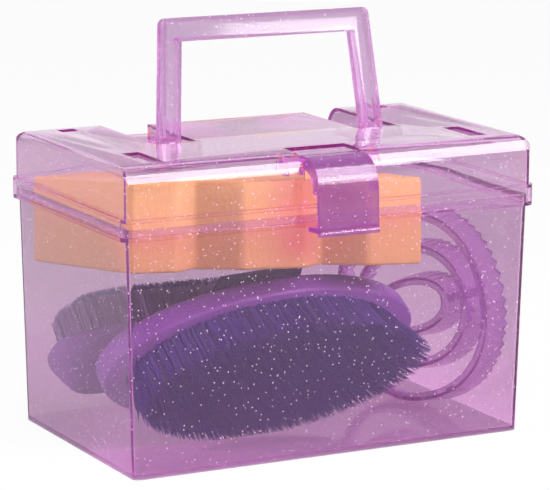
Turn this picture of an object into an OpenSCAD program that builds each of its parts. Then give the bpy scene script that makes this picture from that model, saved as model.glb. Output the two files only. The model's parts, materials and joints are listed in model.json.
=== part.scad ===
// Horse grooming box: a clear moulded carry box with a lid, a folding handle, a front latch
// and the sponge, two brushes and curry comb that it holds.
// Origin at the centre of the box's base, front towards -Y, top towards +Z, millimetres.

/* [Tub] */
// Outer width of the base
base_w = 236; // [210:1:240]
// Outer depth of the base
base_d = 144.4; // [130:0.2:148]
// Height of the underside of the rim flange
flange_z = 128; // [124:0.5:140]
// Thickness of the tub's walls
wall = 2.2; // [1.6:0.1:2.6]
// Thickness of the tub's floor
floor_t = 2.5; // [1.6:0.1:2.8]
// Radius of the tub's upright corners
corner_r = 4; // [3.5:0.5:6]
// How far the tub's wall stands above its flange, inside the lid
lip_h = 3.8; // [2:0.1:6]

/* [Rim] */
// Outer width of the rim
rim_w = 250; // [249:0.5:256]
// Outer depth of the rim
rim_d = 152; // [151:0.5:158]
// Thickness of the tub's flange
flange_t = 2.2; // [1.6:0.1:3]
// Overhang of the flange past the tub's wall
flange_out = 3; // [2.6:0.1:3.4]
// Parting gap between the tub's flange and the lid's band
parting = 0.3; // [0.2:0.05:0.6]

/* [Lid] */
// Height of the lid's rim band
band_h = 9.1; // [8:0.1:12]
// How far the band stands out past the lid's wall
band_out = 2.2; // [1.6:0.1:3]
// Height of the lid above its band
lid_rise = 26.4; // [24:0.1:34]
// Thickness of the lid's walls
lid_wall = 2; // [1.4:0.1:2.4]
// Radius along the lid's front and back top edges
lid_round = 12.5; // [10:0.5:14]
// Radius along the lid's end top edges
lid_end_round = 5; // [3:0.5:7]
// Depth of the channel that the folded handle lies in
channel_depth = 8.3; // [8.3:0.1:9]
// Width of the raised island inside the channel
island_w = 99; // [90:1:101]
// Clear width across the two leg channels
channel_w = 150.4; // [148:0.2:160]
// Y of the channel's front end
channel_front = -6.5; // [-12:0.5:-6]
// Width of the stacking recesses
recess_w = 10; // [6:0.5:14]
// Depth of the stacking recesses
recess_depth = 1.6; // [1:0.1:2]
// Length of the front recesses
recess_front_l = 31; // [16:1:36]
// Length of the back recesses
recess_back_l = 8; // [6:1:12]
// X of the recesses' centres
recess_x = 98.5; // [92:0.5:104]

/* [Handle] */
// Thickness of the handle, front to back
handle_t = 8; // [6:0.2:8]
// Width of a leg
leg_w = 11.3; // [9:0.1:12]
// Height of the grip bar
bar_h = 13; // [10:0.5:14]
// Outer half width at the pivots
foot_out = 68.8; // [66:0.1:70]
// Outer half width at the grip bar
grip_out = 63.4; // [62:0.1:66]
// Height of the handle above its pivots
handle_rise = 70; // [66:0.5:70]
// Thickness of the flanges round the handle's pocket
pocket_rim = 2.2; // [1.6:0.1:3]
// Depth of the handle's pocket
pocket_depth = 5.4; // [3:0.1:5.6]
// Lean of the raised handle, backwards
handle_lean = 8; // [0:1:12]
// Diameter of the handle's pivot pins
pivot_d = 4; // [3:0.1:5]

/* [Latch] */
// Width of the latch
latch_w = 36; // [30:1:44]
// Thickness of the latch's plate
latch_t = 2.4; // [1.8:0.1:3]
// Distance of the latch's plate in front of the rim
latch_out = 11.5; // [10:0.5:14]
// Radius of the latch's bend
latch_round = 17; // [14:0.5:18]
// Depth of the latch's side cheeks
cheek_depth = 7; // [5:0.5:7.5]
// Diameter of the latch's pin
latch_pin_d = 5; // [4:0.1:6]
// Length of the latch's pin
latch_pin_l = 58; // [54:1:66]
// How far the latch's tooth reaches under the flange
tooth_grip = 1.3; // [0.8:0.1:1.4]
// Angle by which the resting latch is eased off the flange
latch_ease = 3; // [3:0.1:4]

/* [Hinge] */
// X of the hinges' middles
hinge_x = 80; // [60:1:96]
// Outer diameter of the hinge knuckles
knuckle_d = 7; // [6:0.2:8]
// Diameter of the hinge pins
hinge_pin_d = 3; // [2.4:0.1:3.6]
// Length of one knuckle
knuckle_l = 8; // [6:0.5:10]

/* [Sponge] */
// Share of the tub's width that the sponge fills
sponge_share = 0.735; // [0.6:0.001:0.75]
// Depth of the sponge, front to back
sponge_d = 125; // [110:1:127]
// Thickness of the sponge
sponge_t = 47; // [36:1:48]
// Depth of the V-shaped cuts in the sponge's front and back
cut_depth = 20; // [4:0.5:24]
// Width of a cut at the sponge's face
cut_w = 38.5; // [10:0.5:44]
// Distance between the two cuts along each face
cut_pitch = 76; // [60:1:80]
// Height of the middle of the sponge's underside
sponge_z = 96.8; // [96.8:0.1:98]

/* [Body brush] */
// Length of the body brush's stock
body_l = 188; // [170:1:190]
// Width of the body brush's stock
body_w = 90; // [80:1:91]
// Thickness of the stock at its edge
body_edge = 13; // [9:0.5:13]
// Height of the stock's crown above its edge
body_crown = 5; // [2:0.5:5]
// Length of the body brush's bristles
body_bristle_l = 23; // [16:0.5:23.5]
// Width of the hand strap
strap_w = 46; // [40:1:60]
// Thickness of the hand strap
strap_t = 2; // [1.4:0.1:2.4]
// Rise of the hand strap above the stock's crown
strap_rise = 13; // [8:0.5:13]

/* [Dandy brush] */
// Length of the dandy brush's stock
dandy_l = 158; // [130:1:160]
// Width of the dandy brush's stock
dandy_w = 50; // [46:1:50]
// Thickness of the stock at its edge
dandy_edge = 7; // [5:0.5:8]
// Depth of the rounded grip below the edge
dandy_grip = 22; // [10:0.5:22]
// Length of the middle bristles
dandy_bristle_l = 28; // [18:0.5:28]
// Length of the border bristles
dandy_border_l = 21; // [14:0.5:21]

/* [Curry comb] */
// Length of the outer ring
comb_l = 122; // [100:1:124]
// Height of the outer ring
comb_h = 108; // [90:1:109]
// Depth of the toothed walls
comb_depth = 15; // [10:0.5:15.5]
// Width of each ring's flat base band
comb_band = 4.5; // [3:0.1:6]
// Thickness of the comb's walls and base
comb_t = 1.8; // [1.2:0.1:2.4]
// Height of a tooth
tooth_h = 3; // [2:0.1:4]
// Number of teeth on the outer ring
teeth = 56; // [40:2:64]

/* [Hidden] */

clear_plastic = [0.72, 0.48, 0.80, 0.55];
deep_plastic = [0.55, 0.30, 0.66, 0.75];
purple = [0.42, 0.18, 0.60];
navy = [0.16, 0.10, 0.32];
grey = [0.62, 0.58, 0.66];
black = [0.07, 0.06, 0.09];
apricot = [0.96, 0.66, 0.40];
steel = [0.70, 0.70, 0.74];

// Small working values
slice = 0.2;
past = 1;
pin_fit = 0.06;
running_fit = 0.16;
soft_gap = 0.2;
oval_steps = 64;
$fn = 48;

// Heights of the rim and lid
flange_top = flange_z + flange_t;
lip_top = flange_top + lip_h;
band_z = flange_top + parting;
band_top = band_z + band_h;
lid_top = band_top + lid_rise;
lid_w = rim_w - 2 * band_out;
lid_d = rim_d - 2 * band_out;

// The tub's wall widens from its base to its rim
end_extra = 0.5;
end_flange_out = flange_out + end_extra;
wall_top_w = rim_w - 2 * end_flange_out;
wall_top_d = rim_d - 2 * flange_out;

function tub_half_w(z) = (base_w + (wall_top_w - base_w) * z / flange_z) / 2;
function tub_half_d(z) = (base_d + (wall_top_d - base_d) * z / flange_z) / 2;

// Outline helpers
function arc(c, r, from, to, steps = 8) =
    [for (i = [0:steps]) c + r * [cos(from + (to - from) * i / steps), sin(from + (to - from) * i / steps)]];
function round_rect(w, d, r) = concat(
    arc([w / 2 - r, d / 2 - r], r, 0, 90),
    arc([r - w / 2, d / 2 - r], r, 90, 180),
    arc([r - w / 2, r - d / 2], r, 180, 270),
    arc([w / 2 - r, r - d / 2], r, 270, 360));
function root(v, p) = sign(v) * pow(abs(v), p);
function oval(a, b, n = oval_steps, square = 2) =
    [for (i = [0:n - 1]) [a * root(cos(360 * i / n), 2 / square), b * root(sin(360 * i / n), 2 / square)]];
function at(outline, z) = [for (p = outline) [p[0], p[1], z]];
function middle(ring) = [for (k = [0:2]) [for (p = ring) p[k]] * [for (p = ring) 1] / len(ring)];
function mix(a, b, t) = a + (b - a) * t;

// A closed skin over a stack of rings, which run anticlockwise seen from the last ring
module loft(rings) {
    n = len(rings[0]);
    k = len(rings);
    skin = [for (j = [0:k - 2], i = [0:n - 1])
        let (a = j * n + i, b = j * n + (i + 1) % n)
        each [[a, a + n, b + n], [a, b + n, b]]];
    first = [for (i = [0:n - 1]) [n * k, i, (i + 1) % n]];
    last = [for (i = [0:n - 1]) [n * k + 1, n * (k - 1) + (i + 1) % n, n * (k - 1) + i]];
    polyhedron(
        concat([for (r = rings) each r], [middle(rings[0]), middle(rings[k - 1])]),
        concat(skin, first, last));
}

// A block of bristles on a slice of their backing. spots is a grid of plan points with one more row
// and column than there are strands. Each strand is four-sided and thins towards its tip. A fan leans
// the strands at the right end outwards by that much.
module bristle_block(spots, backing, length, splay, fan = 0, root_share = 0.72, tip_share = 0.42) {
    rows = len(spots) - 1;
    cols = len(spots[0]) - 1;
    grid = (rows + 1) * (cols + 1);
    function spot(i, j) = i * (cols + 1) + j;
    function corners(i, j) = [spot(i, j), spot(i + 1, j), spot(i + 1, j + 1), spot(i, j + 1)];
    plan = [for (row = spots) each row];
    reach = max([for (p = plan) p[0]]);
    function lean(x) = fan * pow(max(0, x) / reach, 3);
    top = at(plan, 0);
    under = at(plan, -backing);
    strands = [for (i = [0:rows - 1], j = [0:cols - 1])
        let (c = corners(i, j), m = (plan[c[0]] + plan[c[1]] + plan[c[2]] + plan[c[3]]) / 4)
        each concat(
            [for (q = c) let (p = mix(m, plan[q], root_share)) [p[0], p[1], 0]],
            [for (q = c) let (p = mix(m, plan[q], tip_share) * splay) [p[0] + lean(m[0]), p[1], length]])];
    cells = [for (i = [0:rows - 1], j = [0:cols - 1])
        let (c = corners(i, j), s = 2 * grid + 8 * (i * cols + j))
        each concat(
            [for (m = [0:3]) let (w = (m + 1) % 4) each [
                [c[m], s + m, s + w], [c[m], s + w, c[w]],
                [s + m, s + 4 + m, s + 4 + w], [s + m, s + 4 + w, s + w]]],
            [[s + 4, s + 7, s + 6], [s + 4, s + 6, s + 5]],
            [[grid + c[0], grid + c[1], grid + c[2]], [grid + c[0], grid + c[2], grid + c[3]]])];
    edge = concat(
        [for (i = [0:rows - 1]) [spot(i, 0), spot(i + 1, 0)]],
        [for (j = [0:cols - 1]) [spot(rows, j), spot(rows, j + 1)]],
        [for (i = [rows:-1:1]) [spot(i, cols), spot(i - 1, cols)]],
        [for (j = [cols:-1:1]) [spot(0, j), spot(0, j - 1)]]);
    rim = [for (e = edge) each [[grid + e[0], e[0], e[1]], [grid + e[0], e[1], grid + e[1]]]];
    polyhedron(concat(top, under, strands), concat(cells, rim));
}

// A square grid of points laid smoothly over an oval, which a smaller rounding makes squarer
function oval_grid(a, b, rows, cols, rounding = 0.5) = [for (i = [0:rows]) [for (j = [0:cols])
    let (u = 2 * i / rows - 1, v = 2 * j / cols - 1)
    [a * u * sqrt(1 - rounding * v * v), b * v * sqrt(1 - rounding * u * u)]]];

// A grid of points round an oval border, open by a narrow slit where it meets itself
function border_grid(a0, b0, a1, b1, rows, cols, slit, square) = [for (i = [0:rows]) [for (j = [0:cols])
    let (t = slit / 2 + (360 - slit) * i / rows)
    [mix(a1, a0, j / cols) * root(cos(t), 2 / square), mix(b1, b0, j / cols) * root(sin(t), 2 / square)]]];

// The tub
module tub_block(inset, from, to) {
    r = corner_r - inset;
    hull()
        for (z = [from, to - slice], sx = [-1, 1], sy = [-1, 1])
            translate([sx * (tub_half_w(z) - inset - r), sy * (tub_half_d(z) - inset - r), z])
                cylinder(r = r, h = slice);
}

module knuckle(from, to) {
    translate([from, hinge_y, hinge_z])
        rotate([0, 90, 0])
            cylinder(d = knuckle_d, h = to - from);
}

module knuckle_bore(from, to, fit) {
    translate([from - past, hinge_y, hinge_z])
        rotate([0, 90, 0])
            cylinder(d = hinge_pin_d + fit, h = to - from + 2 * past);
}

knuckle_gap = 0.3;
hinge_y = rim_d / 2 + knuckle_d / 2 + knuckle_gap + parting;
hinge_z = flange_top + parting / 2;
knuckle_ends = [
    [-1.5 * knuckle_l - knuckle_gap, -0.5 * knuckle_l - knuckle_gap],
    [0.5 * knuckle_l + knuckle_gap, 1.5 * knuckle_l + knuckle_gap],
];

module tub() {
    color(clear_plastic)
        difference() {
            union() {
                tub_block(0, 0, lip_top);
                translate([0, 0, flange_z])
                    linear_extrude(flange_t)
                        polygon(round_rect(rim_w, rim_d, corner_r + flange_out));
                for (x = [-hinge_x, hinge_x], e = knuckle_ends) {
                    knuckle(x + e[0], x + e[1]);
                    translate([x + e[0], rim_d / 2 - past, flange_z - past])
                        cube([e[1] - e[0], hinge_y - rim_d / 2 + past, flange_t + past]);
                }
            }
            tub_block(wall, floor_t, lip_top + past);
            for (x = [-hinge_x, hinge_x], e = knuckle_ends)
                knuckle_bore(x + e[0], x + e[1], pin_fit);
        }
}

module hinge_pins() {
    color(deep_plastic)
        for (x = [-hinge_x, hinge_x])
            translate([x + knuckle_ends[0][0], hinge_y, hinge_z])
                rotate([0, 90, 0])
                    cylinder(d = hinge_pin_d, h = knuckle_ends[1][1] - knuckle_ends[0][0]);
}

// The lid
channel_z = lid_top - channel_depth;
pivot_z = channel_z + handle_t / 2 + parting;
pivot_y = 0.5;
fold_gap = 1.8;
island_back = pivot_y + handle_rise - bar_h - fold_gap;
recess_front_y = -41.5;
recess_back_y = 55;

module along_x(w) {
    translate([-w / 2, 0, 0])
        rotate([90, 0, 90])
            linear_extrude(w)
                children();
}

module along_y(d) {
    translate([0, d / 2, 0])
        rotate([90, 0, 0])
            linear_extrude(d)
                children();
}

function arch(half, from, to, r) = concat(
    [[-half, from], [half, from]],
    arc([half - r, to - r], r, 0, 90),
    arc([r - half, to - r], r, 90, 180));

module lid_block(inset, from) {
    w = lid_w - 2 * inset;
    d = lid_d - 2 * inset;
    intersection() {
        along_x(w)
            polygon(arch(d / 2, from, lid_top - inset, lid_round - inset));
        along_y(d + 2 * past)
            polygon(arch(w / 2, from, lid_top - inset, lid_end_round - inset));
        translate([0, 0, from])
            linear_extrude(lid_top - from)
                polygon(round_rect(w, d, corner_r - inset));
    }
}

// The U-shaped channel for the folded handle, open at the back
module channel(grow) {
    out = channel_w / 2 + grow;
    in = island_w / 2 - grow;
    back = lid_d / 2 + past + grow;
    translate([0, 0, channel_z - grow])
        linear_extrude(channel_depth + past + grow)
            polygon([
                [-out, channel_front - grow], [-in, channel_front - grow], [-in, island_back - grow],
                [in, island_back - grow], [in, channel_front - grow], [out, channel_front - grow],
                [out, back], [-out, back]]);
}

module recess(x, y, l, grow) {
    translate([x - recess_w / 2 - grow, y - l / 2 - grow, lid_top - recess_depth - grow])
        cube([recess_w + 2 * grow, l + 2 * grow, recess_depth + past + grow]);
}

module recesses(grow) {
    for (x = [-recess_x, recess_x]) {
        recess(x, recess_front_y, recess_front_l, grow);
        recess(x, recess_back_y, recess_back_l, grow);
    }
}

// The notch in the lid's front edge that holds the latch
notch_gap = 0.6;
notch_w = latch_w + 2 * notch_gap;
notch_back = -48;
notch_z = lid_top - lid_round - past;
latch_set = 9;
latch_sink = 5.2;
latch_y = latch_set - lid_d / 2;
latch_z = lid_top - latch_sink;
rib_t = 2;
rib_h = 11;
rib_d = 12;
boss_x = latch_pin_l / 2 - rib_t;

module latch_rib(x) {
    translate([x, latch_y - rib_d / 2, lid_top - rib_h])
        cube([rib_t, rib_d, rib_h]);
}

module lid() {
    color(clear_plastic)
        difference() {
            union() {
                difference() {
                    union() {
                        lid_block(0, band_z);
                        translate([0, 0, band_z])
                            linear_extrude(band_h)
                                polygon(round_rect(rim_w, rim_d, corner_r + flange_out));
                    }
                    channel(0);
                    recesses(0);
                    difference() {
                        lid_block(lid_wall, band_z - past);
                        channel(lid_wall);
                        recesses(lid_wall);
                    }
                    translate([0, 0, band_z - past])
                        linear_extrude(band_h - lid_wall + past)
                            polygon(round_rect(rim_w - 2 * lid_wall, rim_d - 2 * lid_wall, corner_r + past));
                }
                intersection() {
                    lid_block(0, band_z);
                    for (x = [notch_w / 2, boss_x, -notch_w / 2 - rib_t, -boss_x - rib_t])
                        latch_rib(x);
                }
                for (x = [-hinge_x, hinge_x]) {
                    knuckle(x - knuckle_l / 2, x + knuckle_l / 2);
                    translate([x - knuckle_l / 2, rim_d / 2 - past, band_z])
                        cube([knuckle_l, hinge_y - rim_d / 2 + past, knuckle_d / 2]);
                }
            }
            translate([-notch_w / 2, -rim_d, notch_z])
                cube([notch_w, rim_d + notch_back, lid_rise]);
            translate([-latch_pin_l / 2 - past, latch_y, latch_z])
                rotate([0, 90, 0])
                    cylinder(d = latch_pin_d + pin_fit, h = latch_pin_l + 2 * past);
            translate([-channel_w / 2 - lid_wall - past, pivot_y, pivot_z])
                rotate([0, 90, 0])
                    cylinder(d = pivot_d + running_fit, h = channel_w + 2 * lid_wall + 2 * past);
            for (x = [-hinge_x, hinge_x])
                knuckle_bore(x - knuckle_l / 2, x + knuckle_l / 2, running_fit);
        }
}

// The handle, drawn upright about its pivots and leaned back
foot_in = foot_out - leg_w;
splay = (foot_out - grip_out) / handle_rise;
grip_r = 4;
pocket_foot = 5;
pivot_l = channel_w / 2 + lid_wall - foot_out;

function frame_out(h, inset) = foot_out - splay * h - inset;
function frame_in(h, inset) = foot_in - splay * h + inset;

module handle_frame() {
    top = handle_rise;
    under = handle_rise - bar_h;
    polygon(concat(
        [[frame_out(0, 0), 0]],
        arc([frame_out(top, grip_r), top - grip_r], grip_r, 0, 90),
        arc([-frame_out(top, grip_r), top - grip_r], grip_r, 90, 180),
        [[-frame_out(0, 0), 0], [-frame_in(0, 0), 0], [-frame_in(under, 0), under],
         [frame_in(under, 0), under], [frame_in(0, 0), 0]]));
}

module handle_pocket() {
    top = handle_rise - pocket_rim;
    under = handle_rise - bar_h + pocket_rim;
    polygon([
        [frame_out(pocket_foot, pocket_rim), pocket_foot], [frame_out(top, pocket_rim), top],
        [-frame_out(top, pocket_rim), top], [-frame_out(pocket_foot, pocket_rim), pocket_foot],
        [-frame_in(pocket_foot, pocket_rim), pocket_foot], [-frame_in(under, pocket_rim), under],
        [frame_in(under, pocket_rim), under], [frame_in(pocket_foot, pocket_rim), pocket_foot]]);
}

module handle() {
    color(deep_plastic)
        translate([0, pivot_y, pivot_z])
            rotate([-handle_lean, 0, 0]) {
                difference() {
                    along_y(handle_t)
                        handle_frame();
                    translate([0, -handle_t + pocket_depth, 0])
                        along_y(handle_t)
                            handle_pocket();
                }
                for (side = [-1, 1]) {
                    translate([side * (foot_out - leg_w / 2), 0, 0])
                        rotate([0, 90, 0])
                            cylinder(d = handle_t, h = leg_w, center = true);
                    translate([side * (foot_out + pivot_l / 2 - past), 0, 0])
                        rotate([0, 90, 0])
                            cylinder(d = pivot_d, h = pivot_l + past, center = true);
                }
            }
}

// The latch, drawn hooked under the flange and eased off it about its pin
latch_front = -rim_d / 2 - latch_out;
latch_below = 5;
latch_knuckle_wall = 1.2;
latch_foot = flange_z - latch_below;
latch_top = latch_z + latch_pin_d / 2 + latch_knuckle_wall;
bend_y = latch_front + latch_round;
bend_z = latch_top - latch_round;
latch_knuckle_d = 2 * (latch_top - latch_z);
latch_bend_steps = 12;
tooth_t = 2.6;
tooth_gap = 0.5;
bead_d = 3;
cheek_drop = 2;

function latch_side(inset) = concat(
    [[latch_y, latch_top - inset]],
    arc([bend_y, bend_z], latch_round - inset, 90, 180, latch_bend_steps),
    [[latch_front + inset, latch_foot]]);
function reversed(list) = [for (i = [len(list) - 1:-1:0]) list[i]];

module latch_strip(depth) {
    polygon(concat(latch_side(0), reversed(latch_side(depth))));
}

// A cheek stiffens the bend on each side and ends a little below it
module latch_cheek() {
    intersection() {
        latch_strip(cheek_depth);
        translate([latch_front, bend_z - cheek_drop])
            square([latch_y - latch_front, latch_round + cheek_drop]);
    }
}

module latch() {
    tip = -rim_d / 2 + tooth_grip;
    tooth_y = latch_front + latch_t / 2;
    color(deep_plastic)
        translate([0, latch_y, latch_z])
            rotate([-latch_ease, 0, 0])
                translate([0, -latch_y, -latch_z])
                    difference() {
                        union() {
                            along_x(latch_w)
                                latch_strip(latch_t);
                            for (x = [-1, 1])
                                translate([x * (latch_w - latch_t) / 2, 0, 0])
                                    along_x(latch_t)
                                        latch_cheek();
                            translate([-latch_w / 2, latch_y, latch_z])
                                rotate([0, 90, 0])
                                    cylinder(d = latch_knuckle_d, h = latch_w);
                            translate([-latch_w / 2, tooth_y, flange_z - tooth_gap - tooth_t])
                                cube([latch_w, tip - tooth_y, tooth_t]);
                            translate([-latch_w / 2, latch_front + bead_d / 4, latch_foot + bead_d / 2])
                                rotate([0, 90, 0])
                                    cylinder(d = bead_d, h = latch_w);
                        }
                        translate([-latch_w / 2 - past, latch_y, latch_z])
                            rotate([0, 90, 0])
                                cylinder(d = latch_pin_d + running_fit, h = latch_w + 2 * past);
                    }
}

module latch_pin() {
    color(deep_plastic)
        translate([-latch_pin_l / 2, latch_y, latch_z])
            rotate([0, 90, 0])
                cylinder(d = latch_pin_d, h = latch_pin_l);
}

// The sponge, wedged across the tub above the brushes, with two cuts along its front and its back
sponge_turn = [-7.4, 3.4, 0];
sponge_y = -5.5;
sponge_gap = 0.9;
sponge_left = tub_half_w(sponge_z) - wall - sponge_gap;
sponge_l = sponge_share * 2 * (tub_half_w(sponge_z) - wall);
sponge_corner = 2;
cut_shift = -3.8;

function sponge_cut(x, half) = [[x + cut_w / 2, half], [x, half - cut_depth], [x - cut_w / 2, half]];
function sponge_side() =
    let (end = sponge_l / 2, half = sponge_d / 2)
    concat(
        [[end, half - sponge_corner], [end - sponge_corner, half]],
        sponge_cut(cut_shift + cut_pitch / 2, half),
        sponge_cut(cut_shift - cut_pitch / 2, half),
        [[sponge_corner - end, half], [-end, half - sponge_corner]]);

module sponge() {
    color(apricot)
        translate([sponge_l / 2 - sponge_left, sponge_y, sponge_z])
            rotate(sponge_turn)
                linear_extrude(sponge_t)
                    polygon(concat(sponge_side(), reversed([for (p = sponge_side()) [p[0], -p[1]]])));
}

// The body brush, leaning forwards with its bristles against the front wall
body_place = [-20, -28.2, 49.2];
body_turn = [90 + 32, -3, 0];
body_backing = 2;
body_inset = 4;
body_end_inset = 13;
body_row_count = 20;
body_col_count = 10;
body_splay_share = 1.02;
body_fan = 12;
seat_inset = 2.5;
seat_y = body_w / 2 - seat_inset;
seat_l = 14;
rivet_head = 5.5;
rivet_t = 1;
rivet_x = 14;
rivet_steps = 24;

// Steps of the stock's profile: inset from its outline, then share of the crown or of the edge
body_dome = [[20, 1], [8, 0.9], [3, 0.45]];
body_side = [[0, 0.75], [0, 0.2], [1.5, 0]];

module place_body() {
    translate(body_place)
        rotate(body_turn)
            children();
}

module body_brush_stock() {
    color(purple)
        place_body()
            loft([for (step = body_dome) at(
                    oval(body_l / 2 - step[0], body_w / 2 - step[0]), -body_edge - body_crown * step[1]),
                  for (step = body_side) at(
                    oval(body_l / 2 - step[0], body_w / 2 - step[0]), -body_edge * step[1])]);
}

module body_brush_bristles() {
    color(navy)
        place_body()
            translate([0, 0, body_backing])
                bristle_block(
                    oval_grid(
                        body_l / 2 - body_end_inset, body_w / 2 - body_inset,
                        body_row_count, body_col_count),
                    body_backing, body_bristle_l - body_backing, body_splay_share, body_fan);
}

// The strap arches over the crown, with both ends turned in and riveted to the stock's back
strap_base = body_edge + body_crown + soft_gap;
strap_arch = strap_rise - soft_gap;
strap_steps = 24;
strap_side = 0.6;
strap_crest = 0.8;

function strap_line(inset) = [for (i = [0:strap_steps]) let (t = 180 * i / strap_steps)
    [(seat_y - inset) * root(cos(t), strap_side),
     (inset - strap_arch) * root(sin(t), strap_crest) - strap_base]];

module body_brush_strap() {
    color(black)
        place_body()
            along_x(strap_w) {
                polygon(concat(strap_line(0), reversed(strap_line(strap_t))));
                for (side = [-1, 1])
                    translate([side * (seat_y - seat_l / 2), -strap_base - strap_t / 2])
                        square([seat_l, strap_t], center = true);
            }
}

module body_brush_rivets() {
    color(steel)
        place_body()
            for (x = [-rivet_x, rivet_x], side = [-1, 1])
                translate([x, side * (seat_y - seat_l / 2 - strap_t / 2), -strap_base - strap_t])
                    rotate([180, 0, 0])
                        intersection() {
                            cylinder(d = rivet_head, h = rivet_t, $fn = rivet_steps);
                            translate([0, 0, rivet_t - rivet_head])
                                sphere(r = rivet_head, $fn = rivet_steps);
                        }
}

// The dandy brush, on its long edge behind the body brush with its bristles up and back
dandy_place = [-37, 39.5, 46];
dandy_turn = [48 - 90, 0.5, 0];
dandy_backing = 2;
dandy_row_count = 14;
dandy_col_count = 5;
border_row_count = 44;
border_col_count = 1;
border_slit_angle = 0.4;
dandy_splay_share = 1.01;
dandy_square = 3;
field_square = 3.5;
field_round = 0.33;

// Steps of the stock's profile: insets along and across it, then share of the grip or of the edge
dandy_dome = [[10, 21.5, 1], [6, 16.5, 0.8], [3, 10.5, 0.48], [1, 3.5, 0.16]];
dandy_side = [[0, 0, 0.7], [1, 1, 0]];

function dandy_outline(along, across) =
    oval(dandy_l / 2 - along, dandy_w / 2 - across, oval_steps, dandy_square);

module place_dandy() {
    translate(dandy_place)
        rotate(dandy_turn)
            children();
}

module dandy_brush_stock() {
    color(purple)
        place_dandy()
            loft([for (step = dandy_dome) at(
                    dandy_outline(step[0], step[1]), -dandy_edge - dandy_grip * step[2]),
                  for (step = dandy_side) at(
                    dandy_outline(step[0], step[1]), -dandy_edge * step[2])]);
}

dandy_inner = 9;
dandy_inner_end = 22;
dandy_outer = 3;
dandy_outer_end = 10;
row_gap = 0.6;

module dandy_brush_bristles() {
    color(navy)
        place_dandy()
            translate([0, 0, dandy_backing])
                bristle_block(
                    oval_grid(
                        dandy_l / 2 - dandy_inner_end, dandy_w / 2 - dandy_inner,
                        dandy_row_count, dandy_col_count, field_round),
                    dandy_backing, dandy_bristle_l - dandy_backing, dandy_splay_share);
}

module dandy_brush_border() {
    color(grey)
        place_dandy()
            translate([0, 0, dandy_backing])
                bristle_block(
                    border_grid(
                        dandy_l / 2 - dandy_inner_end + row_gap, dandy_w / 2 - dandy_inner + row_gap,
                        dandy_l / 2 - dandy_outer_end, dandy_w / 2 - dandy_outer,
                        border_row_count, border_col_count, border_slit_angle, field_square),
                    dandy_backing, dandy_border_l - dandy_backing, dandy_splay_share);
}

// The curry comb, on edge against the right end with its teeth to the wall
comb_turn = 14;
comb_span = 0.804;
comb_shift = 1.2;
comb_gap = 0.3;
comb_square = 2.2;
comb_rings = 3;
comb_step_l = 15;
comb_step_h = 19;
comb_flare = 2;
spoke_w = 5;
spoke_l = (comb_rings - 1) * comb_step_l + comb_t;
spoke_mid = comb_l / 2 - comb_band / 2 - (comb_rings - 1) * comb_step_l / 2;

function ring_outline(ring, inset, n) = oval(
    comb_h / 2 - ring * comb_step_h - inset, comb_l / 2 - ring * comb_step_l - inset, n, comb_square);

// The comb leans until its length spans a share of the tub's depth, and its reach sets where it stands
comb_bow = comb_square / (comb_square - 1);
comb_tilt = -acos(min(1, comb_span * (base_d - 2 * wall) / (comb_l * cos(comb_turn))));
function comb_reach(up, along) = pow(
    pow(abs(up) * (comb_h / 2 + comb_flare), comb_bow)
    + pow(abs(along) * (comb_l / 2 + comb_flare), comb_bow), 1 / comb_bow);
comb_drop = comb_reach(cos(comb_tilt), sin(comb_tilt));
comb_side = comb_reach(sin(comb_tilt), cos(comb_tilt));
comb_z = floor_t + comb_gap + comb_drop;
comb_wall = min(tub_half_w(0), tub_half_w(comb_z + comb_drop)) - wall;
comb_place = [
    comb_wall - comb_depth * cos(comb_turn) - comb_side * sin(comb_turn),
    -comb_depth * sin(comb_turn) - comb_shift,
    comb_z,
];

// One ring: a flat base band with a flared wall that ends in saw teeth
module comb_ring(ring) {
    n = 2 * round(teeth * (comb_l - 2 * ring * comb_step_l) / comb_l);
    outer = ring_outline(ring, 0, n);
    inner = ring_outline(ring, comb_t, n);
    band = ring_outline(ring, comb_band, n);
    rim_out = ring_outline(ring, -comb_flare, n);
    rim_in = ring_outline(ring, comb_t - comb_flare, n);
    function saw(i) = comb_depth - tooth_h * (i % 2);
    rings = [
        at(band, 0), at(outer, 0),
        [for (i = [0:n - 1]) [rim_out[i][0], rim_out[i][1], saw(i)]],
        [for (i = [0:n - 1]) [rim_in[i][0], rim_in[i][1], saw(i)]],
        at(inner, comb_t), at(band, comb_t)];
    k = len(rings);
    polyhedron(
        [for (r = rings) each r],
        [for (j = [0:k - 1], i = [0:n - 1])
            let (w = (i + 1) % n, v = (j + 1) % k)
            each [[j * n + i, v * n + i, v * n + w], [j * n + i, v * n + w, j * n + w]]]);
}

module curry_comb() {
    color(clear_plastic)
        translate(comb_place)
            rotate([0, 90, comb_turn])
                rotate([0, 0, comb_tilt])
                    union() {
                        for (ring = [0:comb_rings - 1])
                            comb_ring(ring);
                        for (side = [-1, 1])
                            translate([-spoke_w / 2, side * spoke_mid - spoke_l / 2, 0])
                                cube([spoke_w, spoke_l, comb_t]);
                    }
}

tub();
hinge_pins();
lid();
handle();
latch();
latch_pin();
sponge();
body_brush_stock();
body_brush_bristles();
body_brush_strap();
body_brush_rivets();
dandy_brush_stock();
dandy_brush_bristles();
dandy_brush_border();
curry_comb();
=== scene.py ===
import json
import bpy
import bmesh
import numpy as np
from mathutils import Matrix


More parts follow.
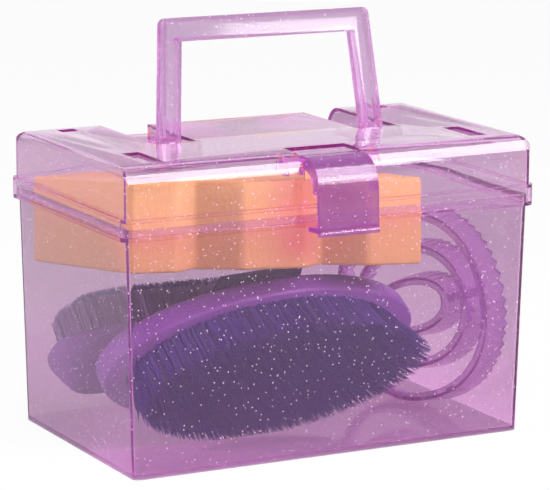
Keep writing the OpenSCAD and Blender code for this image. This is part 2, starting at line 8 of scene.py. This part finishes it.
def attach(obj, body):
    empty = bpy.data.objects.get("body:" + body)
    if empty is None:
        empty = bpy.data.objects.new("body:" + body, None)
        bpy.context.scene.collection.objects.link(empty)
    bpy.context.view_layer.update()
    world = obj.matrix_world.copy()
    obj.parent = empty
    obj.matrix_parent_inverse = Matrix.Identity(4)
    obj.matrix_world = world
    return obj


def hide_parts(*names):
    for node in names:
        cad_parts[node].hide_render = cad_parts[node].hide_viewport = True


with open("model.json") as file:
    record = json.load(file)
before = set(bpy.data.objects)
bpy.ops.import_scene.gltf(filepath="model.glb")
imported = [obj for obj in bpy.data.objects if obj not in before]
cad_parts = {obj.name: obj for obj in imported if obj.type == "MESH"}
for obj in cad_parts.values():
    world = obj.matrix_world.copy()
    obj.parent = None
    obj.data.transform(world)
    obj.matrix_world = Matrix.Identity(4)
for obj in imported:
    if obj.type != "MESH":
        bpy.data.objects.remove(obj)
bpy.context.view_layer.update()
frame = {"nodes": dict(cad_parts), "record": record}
mm = 0.001


# meshes

def meshPiece(name, points, faces, material, body, smooth=True):
    mesh = bpy.data.meshes.new(name)
    mesh.from_pydata(np.asarray(points, float).tolist(), [], [list(f) for f in faces])
    mesh.polygons.foreach_set("use_smooth", np.full(len(mesh.polygons), smooth))
    mesh.update()
    piece = bpy.data.objects.new(name, mesh)
    bpy.context.scene.collection.objects.link(piece)
    mesh.materials.append(material)
    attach(piece, body)
    return piece


def gridFaces(rows, cols, wrap):
    # quads over a grid of points, row by row; wrap joins each row's end to its start
    r, c = np.meshgrid(np.arange(rows - 1), np.arange(cols if wrap else cols - 1), indexing="ij")
    a = r * cols + c
    b = r * cols + (c + 1) % cols
    return np.stack([a, b, b + cols, a + cols], -1).reshape(-1, 4)


def skinned(rings):
    # a closed skin over a stack of rings, with a fan to a middle point at each end
    rings = np.asarray(rings, float)
    count, around = rings.shape[:2]
    points = np.concatenate([rings.reshape(-1, 3), rings[:1].mean(1), rings[-1:].mean(1)])
    i = np.arange(around)
    w = (i + 1) % around
    first = np.stack([w, i, np.full(around, count * around)], -1)
    last = np.stack([i, w, np.full(around, count * around + 1)], -1)
    last[:, :2] += (count - 1) * around
    return points, [*gridFaces(count, around, True).tolist(), *first.tolist(), *last.tolist()]


def turned(points, degrees, place):
    # turn about X, then Y, then Z, and move into place
    x, y, z = np.radians(degrees)
    spin = Matrix.Rotation(z, 3, "Z") @ Matrix.Rotation(y, 3, "Y") @ Matrix.Rotation(x, 3, "X")
    return np.asarray(points) @ np.array(spin).T + np.asarray(place)


def root(v, p):
    return np.sign(v) * np.abs(v) ** p


def oval(a, b, count, square=2.0):
    # superellipse: each axis is its half size times the signed root of cosine or sine
    t = np.linspace(0, 2 * np.pi, count, endpoint=False)
    return np.stack([a * root(np.cos(t), 2 / square), b * root(np.sin(t), 2 / square)], -1)


def level(outline, z):
    return np.concatenate([outline, np.full((len(outline), 1), z)], 1)


bodies = frame["record"]["behaviour"]["bodies"]
bodyOf = {node: body for body, members in bodies.items() for node in members}
easing = dict(weld=2e-6, flatAngle=0.5, sharpAngle=28, bevelAngle=40, bevelSteps=2)


def softened(node, material, bevel, name):
    # a copy of a CAD node with its flat faces joined, its edges eased and its curves shaded smooth
    source = frame["nodes"][node]
    mesh = source.data.copy()
    mesh.name = name
    work = bmesh.new()
    work.from_mesh(mesh)
    bmesh.ops.remove_doubles(work, verts=work.verts, dist=easing["weld"])
    bmesh.ops.dissolve_limit(
        work, angle_limit=np.radians(easing["flatAngle"]), verts=work.verts, edges=work.edges)
    work.to_mesh(mesh)
    work.free()
    mesh.materials.clear()
    mesh.materials.append(material)
    mesh.polygons.foreach_set("use_smooth", np.full(len(mesh.polygons), True))
    mesh.set_sharp_from_angle(angle=np.radians(easing["sharpAngle"]))
    piece = bpy.data.objects.new(name, mesh)
    bpy.context.scene.collection.objects.link(piece)
    if bevel:
        ease = piece.modifiers.new("ease", "BEVEL")
        ease.width = bevel
        ease.segments = easing["bevelSteps"]
        ease.limit_method = "ANGLE"
        ease.angle_limit = np.radians(easing["bevelAngle"])
        ease.harden_normals = True
        ease.use_clamp_overlap = True
    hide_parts(node)
    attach(piece, bodyOf[node])
    return piece


# materials

def blank(name):
    material = bpy.data.materials.new(name)
    material.use_nodes = True
    tree = material.node_tree
    tree.nodes.clear()
    out = tree.nodes.new("ShaderNodeOutputMaterial")
    return material, tree, out


def node(tree, kind, **values):
    made = tree.nodes.new(kind)
    for key, value in values.items():
        if key in made.inputs:
            made.inputs[key].default_value = value
        else:
            setattr(made, key, value)
    return made


def link(tree, source, target):
    tree.links.new(source, target)


def spots(tree, scale, radius):
    # white specks: 1 close to the middle of each Voronoi cell and 0 elsewhere
    where = node(tree, "ShaderNodeTexCoord")
    cells = node(tree, "ShaderNodeTexVoronoi", Scale=scale, Randomness=1.0)
    near = node(tree, "ShaderNodeMath", operation="LESS_THAN")
    near.inputs[1].default_value = radius
    link(tree, where.outputs["Object"], cells.inputs["Vector"])
    link(tree, cells.outputs["Distance"], near.inputs[0])
    return near.outputs[0]


def clearPlastic(name, look):
    # clear bending plastic that swallows light by depth, with a little haze and white glitter
    # lamps shine straight through it
    material, tree, out = blank(name)
    body = node(tree, "ShaderNodeBsdfPrincipled", Roughness=look["roughness"], IOR=look["ior"])
    body.inputs["Base Color"].default_value = (*look["tint"], 1)
    body.inputs["Transmission Weight"].default_value = 1.0
    haze = node(tree, "ShaderNodeBsdfDiffuse", Color=(*look["haze"], 1))
    speck = node(tree, "ShaderNodeBsdfDiffuse", Color=(*look["speckColor"], 1))
    through = node(tree, "ShaderNodeBsdfTransparent", Color=(*look["lampTint"], 1))
    path = node(tree, "ShaderNodeLightPath")
    hazed = node(tree, "ShaderNodeMixShader", Fac=look["hazeShare"])
    glittered = node(tree, "ShaderNodeMixShader")
    lit = node(tree, "ShaderNodeMixShader")
    depth = node(
        tree, "ShaderNodeVolumeAbsorption", Color=(*look["depthColor"], 1), Density=look["depthDensity"])
    link(tree, body.outputs[0], hazed.inputs[1])
    link(tree, haze.outputs[0], hazed.inputs[2])
    link(tree, spots(tree, look["speckScale"], look["speckRadius"]), glittered.inputs[0])
    link(tree, hazed.outputs[0], glittered.inputs[1])
    link(tree, speck.outputs[0], glittered.inputs[2])
    link(tree, path.outputs["Is Shadow Ray"], lit.inputs[0])
    link(tree, glittered.outputs[0], lit.inputs[1])
    link(tree, through.outputs[0], lit.inputs[2])
    link(tree, lit.outputs[0], out.inputs["Surface"])
    link(tree, depth.outputs[0], out.inputs["Volume"])
    return material


def principled(name, roughness, metallic=0.0):
    material, tree, out = blank(name)
    skin = node(tree, "ShaderNodeBsdfPrincipled", Roughness=roughness, Metallic=metallic)
    link(tree, skin.outputs[0], out.inputs[0])
    return material, tree, skin


def varied(tree, skin, scale, dark, light):
    # colour drifts between two tones with a soft noise
    where = node(tree, "ShaderNodeTexCoord")
    drift = node(tree, "ShaderNodeTexNoise", Scale=scale, Detail=4.0)
    tones = node(tree, "ShaderNodeMix", data_type="RGBA")
    tones.inputs["A"].default_value = (*dark, 1)
    tones.inputs["B"].default_value = (*light, 1)
    link(tree, where.outputs["Object"], drift.inputs["Vector"])
    link(tree, drift.outputs["Fac"], tones.inputs["Factor"])
    link(tree, tones.outputs["Result"], skin.inputs["Base Color"])
    return where


boxPlastic = dict(
    tint=(0.795, 0.745, 0.78), haze=(0.60, 0.30, 0.70), hazeShare=0.04, roughness=0.03, ior=1.42,
    lampTint=(0.95, 0.88, 0.95), depthColor=(0.84, 0.10, 0.78), depthDensity=80.0,
    speckColor=(1, 0.97, 1), speckScale=275.0, speckRadius=0.102)
lidPlastic = dict(boxPlastic, tint=(0.88, 0.845, 0.865))
handlePlastic = dict(
    boxPlastic, tint=(0.86, 0.78, 0.86), haze=(0.62, 0.40, 0.66), hazeShare=0.14, roughness=0.10,
    depthDensity=60.0)
latchPlastic = dict(
    boxPlastic, tint=(0.68, 0.58, 0.70), haze=(0.48, 0.22, 0.53), hazeShare=0.33, roughness=0.12,
    depthDensity=160.0)
combPlastic = dict(
    boxPlastic, tint=(0.81, 0.76, 0.86), haze=(0.48, 0.33, 0.64), hazeShare=0.12, roughness=0.05,
    depthDensity=260.0)

boxSkin = clearPlastic("clear_plastic", boxPlastic)
lidSkin = clearPlastic("lid_plastic", lidPlastic)
handleSkin = clearPlastic("handle_plastic", handlePlastic)
latchSkin = clearPlastic("latch_plastic", latchPlastic)
combSkin = clearPlastic("comb_plastic", combPlastic)
print("materials ready")


# box, handle and latch keep the CAD shapes with eased edges

eased = dict(tub=0.0009, lid=0.0006, handle=0.0006, latch=0.0005, latch_pin=0.0004, hinge_pins=0.0003)
boxPieces = {
    "tub": softened("tub", boxSkin, eased["tub"], "tub_shell"),
    "lid": softened("lid", lidSkin, eased["lid"], "lid_shell"),
    "handle": softened("handle", handleSkin, eased["handle"], "carry_handle"),
    "latch": softened("latch", latchSkin, eased["latch"], "front_latch"),
    "latch_pin": softened("latch_pin", latchSkin, eased["latch_pin"], "latch_rod"),
    "hinge_pins": softened("hinge_pins", latchSkin, eased["hinge_pins"], "hinge_rods"),
    "curry_comb": softened("curry_comb", combSkin, 0, "comb_rings"),
}
print("box ready")


# brushes: a stock's rings are how far each lies in from the ends and sides and its height, all in mm

tubRoom = np.array([[-0.1175, -0.0698, 0.0029], [0.1175, 0.0698, 0.2]])
strand = dict(heights=np.array([0.0, 0.55, 1.0]), widths=np.array([1.0, 0.8, 0.45]), corners=3, curl=1.6)
bodyBrush = dict(
    place=(-0.020, -0.0282, 0.0492), turn=(122, -3, 0), length=0.188, width=0.090, edge=0.013, crown=0.005,
    square=2.0, splay=1.02, ragged=0.05, stray=0.019,
    rings=[
        (26, 26, -18), (20, 20, -18), (14, 14, -17.85), (8, 8, -17.45), (5, 5, -16.6), (3, 3, -15.3),
        (1.4, 1.4, -13.6), (0.5, 0.5, -11.9), (0, 0, -9.75), (0, 0, -2.6), (0.4, 0.4, -1), (1.5, 1.5, 0)])
bodyField = dict(
    count=13000, length=0.023, endInset=0.013, sideInset=0.004, least=0.0, square=2.0, thick=0.00038,
    fan=0.012, spreadSeed=3, strandSeed=11)
dandyBrush = dict(
    place=(-0.037, 0.0395, 0.046), turn=(-42, 0.5, 0), length=0.158, width=0.050,
    square=3.0, splay=1.01, ragged=0.02, stray=0.010,
    rings=[
        (16, 24, -29), (12, 22.3, -28.9), (8.5, 19.5, -27.3), (6, 16.5, -24.6), (4.4, 13.6, -21.2),
        (3, 10.5, -17.5), (1.9, 6.8, -13.8), (1, 3.5, -10.5), (0.3, 1.2, -7.4), (0, 0, -4.9),
        (0, 0, -1.6), (0.4, 0.4, -0.6), (1, 1, 0)])
dandyField = dict(
    count=7000, length=0.028, endInset=0.022, sideInset=0.009, least=0.0, square=3.5, thick=0.0004,
    fan=0.0, spreadSeed=5, strandSeed=12)
dandyEdge = dict(
    count=3000, length=0.021, endInset=0.010, sideInset=0.003, least=0.8, square=3.5, thick=0.0004,
    fan=0.0, spreadSeed=6, strandSeed=13)


def stock(name, brush, around=160):
    half, across = brush["length"] / 2, brush["width"] / 2
    points, faces = skinned([
        level(oval(half - i * mm, across - j * mm, around, brush["square"]), z * mm)
        for i, j, z in brush["rings"]])
    return meshPiece(name, turned(points, brush["turn"], brush["place"]), faces, stockSkin, "tub")


def scattered(brush, field, jitter=0.03):
    # sunflower spread over a superellipse, between a share of its size and its edge
    rng = np.random.default_rng(field["spreadSeed"])
    count, least, square = field["count"], field["least"], field["square"]
    i = np.arange(count) + 0.5
    r = np.sqrt(least ** 2 + (1 - least ** 2) * i / count)
    t = i * np.pi * (3 - np.sqrt(5)) + rng.normal(0, jitter, count)
    r = r * (np.abs(np.cos(t)) ** square + np.abs(np.sin(t)) ** square) ** (-1 / square)
    a = brush["length"] / 2 - field["endInset"]
    b = brush["width"] / 2 - field["sideInset"]
    return np.stack([a * r * np.cos(t), b * r * np.sin(t)], -1)


def bristles(name, brush, field, material):
    # each strand is a three-sided sliver in three rings, leaning outwards by its place and a little at
    # random, and more so at the right end by the fan's length
    start = scattered(brush, field)
    rng = np.random.default_rng(field["strandSeed"])
    n, rows, corners = len(start), len(strand["heights"]), strand["corners"]
    long = field["length"] * (1 - brush["ragged"] * rng.random(n))
    lean = start * (brush["splay"] - 1)
    lean[:, 0] += field["fan"] * np.clip(start[:, 0] / start[:, 0].max(), 0, 1) ** 3
    lean = lean + rng.normal(0, brush["stray"], (n, 2)) * field["length"]
    corner = (rng.random(n) * 2 * np.pi)[:, None] + np.arange(corners) * 2 * np.pi / corners
    ring = np.stack([np.cos(corner), np.sin(corner)], -1)
    bend = (strand["heights"] ** strand["curl"])[None, :, None, None]
    xy = start[:, None, None, :] + lean[:, None, None, :] * bend
    xy = xy + ring[:, None, :, :] * (field["thick"] * strand["widths"])[None, :, None, None]
    z = np.broadcast_to((long[:, None] * strand["heights"])[:, :, None, None], (n, rows, corners, 1))
    points = turned(np.concatenate([xy, z], -1).reshape(-1, 3), brush["turn"], brush["place"])
    points = np.clip(points, tubRoom[0], tubRoom[1])
    first = np.arange(n)[:, None, None] * rows * corners
    sides = (first + gridFaces(rows, corners, True)).reshape(-1, 4)
    tips = first[:, 0] + np.arange((rows - 1) * corners, rows * corners)
    return meshPiece(name, points, [*sides.tolist(), *tips.tolist()], material, "tub", smooth=False)


stockSkin, tree, skin = principled("brush_stock", roughness=0.22)
varied(tree, skin, scale=60.0, dark=(0.165, 0.053, 0.275), light=(0.225, 0.079, 0.345))
darkFibre, tree, skin = principled("dark_bristle", roughness=0.5)
varied(tree, skin, scale=900.0, dark=(0.027, 0.008, 0.165), light=(0.068, 0.025, 0.33))
paleFibre, tree, skin = principled("pale_bristle", roughness=0.5)
varied(tree, skin, scale=900.0, dark=(0.14, 0.09, 0.24), light=(0.28, 0.21, 0.38))

bodyStock = stock("body_stock", bodyBrush)
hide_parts("body_brush_stock")

bodyBristles = bristles("body_bristles", bodyBrush, bodyField, darkFibre)
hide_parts("body_brush_bristles")

dandyStock = stock("dandy_stock", dandyBrush)
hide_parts("dandy_brush_stock")

dandyMiddle = bristles("dandy_bristles", dandyBrush, dandyField, darkFibre)
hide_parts("dandy_brush_bristles")

dandyBorder = bristles("dandy_border", dandyBrush, dandyEdge, paleFibre)
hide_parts("dandy_brush_border")
print("brushes ready")


# hand strap

handBand = dict(
    width=0.046, thick=0.002, rise=0.013, gap=0.0002, seatInset=0.0025, seatLength=0.014, sideRoot=0.6,
    crestRoot=0.8, archSteps=96, seatSteps=7,
    across=np.array([-1, -0.985, -0.5, 0, 0.5, 0.985, 1]), thin=np.array([0.6, 1, 1, 1, 1, 1, 0.6]))


def strapLine(inset):
    # outwards along each turned-in seat, then a squared arch over the crown
    t = np.linspace(0, np.pi, handBand["archSteps"])
    base = bodyBrush["edge"] + bodyBrush["crown"] + handBand["gap"]
    outer = bodyBrush["width"] / 2 - handBand["seatInset"]
    y = (outer - inset) * root(np.cos(t), handBand["sideRoot"])
    z = (inset + handBand["gap"] - handBand["rise"]) * np.abs(np.sin(t)) ** handBand["crestRoot"] - base
    seat = np.linspace(outer - handBand["seatLength"], outer - inset, handBand["seatSteps"] + 1)[:-1]
    low = np.full(handBand["seatSteps"], -base - inset)
    return np.concatenate([
        np.stack([seat, low], -1), np.stack([y, np.minimum(z, -base - inset)], -1),
        np.stack([-seat[::-1], low], -1)])


def strap(name, material):
    # a flat band: an inner and outer line carried across the strap's width, thinner at both edges
    outer, within = strapLine(0.0), strapLine(handBand["thick"])
    loop = np.concatenate([outer, within[::-1]])
    middle = np.concatenate([(outer + within) / 2, ((outer + within) / 2)[::-1]])
    across = handBand["across"] * handBand["width"] / 2
    rows, count = len(across), len(loop)
    ring = middle[None] + (loop - middle)[None] * handBand["thin"][:, None, None]
    points = np.concatenate([np.broadcast_to(across[:, None, None], (rows, count, 1)), ring], -1)
    i = np.arange(count // 2 - 1)
    end = np.stack([i, count - 1 - i, count - 2 - i, i + 1], -1)
    faces = np.concatenate([gridFaces(rows, count, True), end, end[:, ::-1] + (rows - 1) * count])
    points = turned(points.reshape(-1, 3), bodyBrush["turn"], bodyBrush["place"])
    return meshPiece(name, points, faces.tolist(), material, "tub")


def bumpy(tree, skin, where, pattern, output, strength, distance):
    # a fine relief that follows a pattern
    bump = node(tree, "ShaderNodeBump", Strength=strength, Distance=distance)
    link(tree, where.outputs["Object"], pattern.inputs["Vector"])
    link(tree, pattern.outputs[output], bump.inputs["Height"])
    link(tree, bump.outputs[0], skin.inputs["Normal"])


strapSkin, tree, skin = principled("webbing", roughness=0.8)
where = varied(tree, skin, scale=220.0, dark=(0.011, 0.007, 0.026), light=(0.028, 0.020, 0.062))
weave = node(tree, "ShaderNodeTexWave", Scale=420.0, Distortion=1.0)
bumpy(tree, skin, where, weave, "Fac", strength=0.6, distance=0.0004)
handStrap = strap("hand_strap", strapSkin)
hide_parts("body_brush_strap")

rivetSkin, tree, skin = principled("rivet_steel", roughness=0.3, metallic=1.0)
varied(tree, skin, scale=400.0, dark=(0.55, 0.55, 0.58), light=(0.8, 0.8, 0.83))
rivets = softened("body_brush_rivets", rivetSkin, 0, "strap_rivets")
print("strap ready")


# sponge

sponge = dict(
    length=0.17412, depth=0.125, thick=0.047, round=0.0016, cutDepth=0.020, cutWidth=0.0385,
    cuts=(-0.0418, 0.0342), place=(-0.03049, -0.0055, 0.0968), turn=(-7.4, 3.4, 0),
    rings=320, blur=9, rough=0.00006, seed=21, cornerSteps=5, flatSteps=49, highSteps=19)


def spongeHalf(x):
    # half depth along the sponge: straight faces with a V-shaped cut at each place in cuts,
    # eased by a short average
    cut = np.max([1 - np.abs(x - c) * 2 / sponge["cutWidth"] for c in sponge["cuts"]], axis=0)
    half = sponge["depth"] / 2 - sponge["cutDepth"] * np.clip(cut, 0, 1)
    blur = sponge["blur"]
    return np.convolve(np.pad(half, blur // 2, mode="edge"), np.full(blur, 1 / blur), "valid")


def foamBlock():
    # a rounded section, as deep as the outline says, carried from end to end and drawn in at both ends
    r, t = sponge["round"], sponge["thick"]
    a = np.radians(np.linspace(0, 90, sponge["cornerSteps"]))
    x = np.linspace(-sponge["length"] / 2 + r, sponge["length"] / 2 - r, sponge["rings"])
    half = spongeHalf(x)
    ends = np.concatenate([-r * np.sin(a[:0:-1]), np.zeros(len(x)), r * np.sin(a[1:])])
    inset = np.concatenate([r * (1 - np.cos(a[:0:-1])), np.zeros(len(x)), r * (1 - np.cos(a[1:]))])
    x = np.pad(x, len(a) - 1, mode="edge") + ends
    half = np.pad(half, len(a) - 1, mode="edge") - inset
    flat = np.linspace(1, -1, sponge["flatSteps"])
    high = np.linspace(1, -1, sponge["highSteps"])
    sine, cosine = np.sin(a[1:-1]), np.cos(a[1:-1])
    one, none = np.ones_like, np.zeros_like
    bend = one(sine)
    share = np.concatenate([flat, -bend, -one(high), -bend, -flat, bend, one(high), bend])
    rise = np.concatenate([one(flat), bend, high, -bend, -one(flat), -bend, -high, bend])
    out = np.concatenate([none(flat), -sine, -one(high), -cosine, none(flat), sine, one(high), cosine])
    over = np.concatenate([one(flat), cosine, none(high), -sine, -one(flat), -cosine, none(high), sine])
    y = share * (half[:, None] - r) + out * r
    z = t / 2 + rise * (t / 2 - r - inset[:, None]) + over * r
    points, faces = skinned(np.stack([np.broadcast_to(x[:, None], y.shape), y, z], -1))
    rng = np.random.default_rng(sponge["seed"])
    points = points + rng.normal(0, sponge["rough"], points.shape)
    points = turned(points, sponge["turn"], sponge["place"])
    return meshPiece("sponge_block", points, faces, foamSkin, "tub")


foamSkin, tree, skin = principled("foam", roughness=0.9)
where = varied(tree, skin, scale=90.0, dark=(0.60, 0.405, 0.080), light=(0.65, 0.445, 0.095))
pores = node(tree, "ShaderNodeTexVoronoi", Scale=520.0, Randomness=1.0)
bumpy(tree, skin, where, pores, "Distance", strength=0.3, distance=0.0005)
foam = foamBlock()
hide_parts("sponge")
print("sponge ready")


# studio

def backdropRay(tree):
    # 1 for what the camera sees, also by way of mirrors and clear plastic, and 0 for light on the object
    path = node(tree, "ShaderNodeLightPath")
    a = node(tree, "ShaderNodeMath", operation="MAXIMUM")
    b = node(tree, "ShaderNodeMath", operation="MAXIMUM")
    link(tree, path.outputs["Is Camera Ray"], a.inputs[0])
    link(tree, path.outputs["Is Glossy Ray"], a.inputs[1])
    link(tree, a.outputs[0], b.inputs[0])
    link(tree, path.outputs["Is Transmission Ray"], b.inputs[1])
    first = node(tree, "ShaderNodeMath", operation="LESS_THAN")
    first.inputs[1].default_value = 0.5
    both = node(tree, "ShaderNodeMath", operation="MULTIPLY")
    link(tree, path.outputs["Diffuse Depth"], first.inputs[0])
    link(tree, b.outputs[0], both.inputs[0])
    link(tree, first.outputs[0], both.inputs[1])
    return both.outputs[0], path.outputs["Is Camera Ray"]


def studio(light):
    # a pale floor that looks white to the camera and through the plastic, and keeps the box's shadow
    material, tree, out = blank("floor_white")
    seen, direct = backdropRay(tree)
    pale = node(tree, "ShaderNodeMapRange")
    pale.inputs["To Min"].default_value = light["floorTone"]
    pale.inputs["To Max"].default_value = light["floorSeen"]
    ground = node(tree, "ShaderNodeBsdfDiffuse")
    glow = node(tree, "ShaderNodeEmission", Color=(1, 1, 1, 1), Strength=1.0)
    through = node(tree, "ShaderNodeMath", operation="MULTIPLY")
    through.inputs[1].default_value = light["floorThrough"]
    share = node(tree, "ShaderNodeMath", operation="MULTIPLY_ADD")
    share.inputs[1].default_value = light["floorWhite"] - light["floorThrough"]
    mix = node(tree, "ShaderNodeMixShader")
    link(tree, seen, pale.inputs["Value"])
    link(tree, pale.outputs[0], ground.inputs["Color"])
    link(tree, seen, through.inputs[0])
    link(tree, direct, share.inputs[0])
    link(tree, through.outputs[0], share.inputs[2])
    link(tree, share.outputs[0], mix.inputs[0])
    link(tree, ground.outputs[0], mix.inputs[1])
    link(tree, glow.outputs[0], mix.inputs[2])
    link(tree, mix.outputs[0], out.inputs[0])
    s = light["floorSize"]
    mesh = bpy.data.meshes.new("floor")
    mesh.from_pydata([(-s, -s, 0), (s, -s, 0), (s, s, 0), (-s, s, 0)], [], [(0, 1, 2, 3)])
    mesh.materials.append(material)
    floor = bpy.data.objects.new("floor", mesh)
    bpy.context.scene.collection.objects.link(floor)

    world = bpy.data.worlds.new("studio")
    bpy.context.scene.world = world
    world.use_nodes = True
    tree = world.node_tree
    tree.nodes.clear()
    out = tree.nodes.new("ShaderNodeOutputWorld")
    plain = node(tree, "ShaderNodeBackground", Color=(1, 1, 1, 1), Strength=light["ambient"])
    white = node(tree, "ShaderNodeBackground", Color=(1, 1, 1, 1), Strength=1.0)
    mix = node(tree, "ShaderNodeMixShader")
    link(tree, backdropRay(tree)[0], mix.inputs[0])
    link(tree, plain.outputs[0], mix.inputs[1])
    link(tree, white.outputs[0], mix.inputs[2])
    link(tree, mix.outputs[0], out.inputs[0])

    for name, spec in light["lamps"].items():
        lamp = bpy.data.lights.new(name, "AREA")
        lamp.shape = "RECTANGLE"
        lamp.size, lamp.size_y = spec["size"]
        lamp.energy = spec["power"]
        lampObject = bpy.data.objects.new(name, lamp)
        lampObject.visible_diffuse = spec.get("lights", True)
        lampObject.visible_transmission = False
        bpy.context.scene.collection.objects.link(lampObject)
        eye = np.array(spec["at"])
        aim = np.array(spec["to"]) - eye
        back = -aim / np.linalg.norm(aim)
        side = np.cross((0, 0, 1), back)
        side = side / np.linalg.norm(side)
        turn = np.stack([side, np.cross(back, side), back], 1)
        lampObject.matrix_world = Matrix([[*turn[k], eye[k]] for k in range(3)] + [[0, 0, 0, 1]])


studio(dict(
    floorTone=0.85, floorSeen=1.5, floorWhite=0.94, floorThrough=0.2, floorSize=8.0, ambient=0.2,
    lamps=dict(
        key=dict(at=(0.75, -1.25, 0.85), to=(0, 0, 0.1), size=(0.6, 0.6), power=16.0),
        fill=dict(at=(-1.60, 0.15, 0.60), to=(0, 0, 0.1), size=(0.8, 0.8), power=17.0),
        softbox=dict(at=(0.72, -0.80, 1.16), to=(0, 0, 0.15), size=(1.8, 1.0), power=90.0, lights=False))))


def camera(view):
    # the photograph's view, solved from the box's own edges
    lens = bpy.data.cameras.new("view")
    lens.sensor_width = view["sensor"]
    lens.lens = view["lens"]
    lens.clip_start, lens.clip_end = view["clip"]
    eye = bpy.data.objects.new("view", lens)
    bpy.context.scene.collection.objects.link(eye)
    azimuth, elevation, roll = np.radians([view["azimuth"], view["elevation"], view["roll"]])
    back = np.array([
        np.sin(azimuth) * np.cos(elevation), -np.cos(azimuth) * np.cos(elevation), np.sin(elevation)])
    flat = np.array([np.cos(azimuth), np.sin(azimuth), 0.0])
    high = np.cross(back, flat)
    right = np.cos(roll) * flat + np.sin(roll) * high
    up = np.cos(roll) * high - np.sin(roll) * flat
    place = back * view["distance"] + right * view["across"] + up * view["above"]
    eye.matrix_world = Matrix([[right[k], up[k], back[k], place[k]] for k in range(3)] + [[0, 0, 0, 1]])
    bpy.context.scene.camera = eye


camera(dict(
    azimuth=-27.74, elevation=11.423, roll=0.346, distance=1.71306, across=0.002644, above=0.10071,
    lens=199.48, sensor=36.0, clip=(0.05, 50.0)))
bpy.context.scene.view_settings.view_transform = "Standard"
rays = bpy.context.scene.cycles
rays.max_bounces = 32
rays.glossy_bounces = 24
rays.transmission_bounces = 32
rays.transparent_max_bounces = 40
print("studio ready")
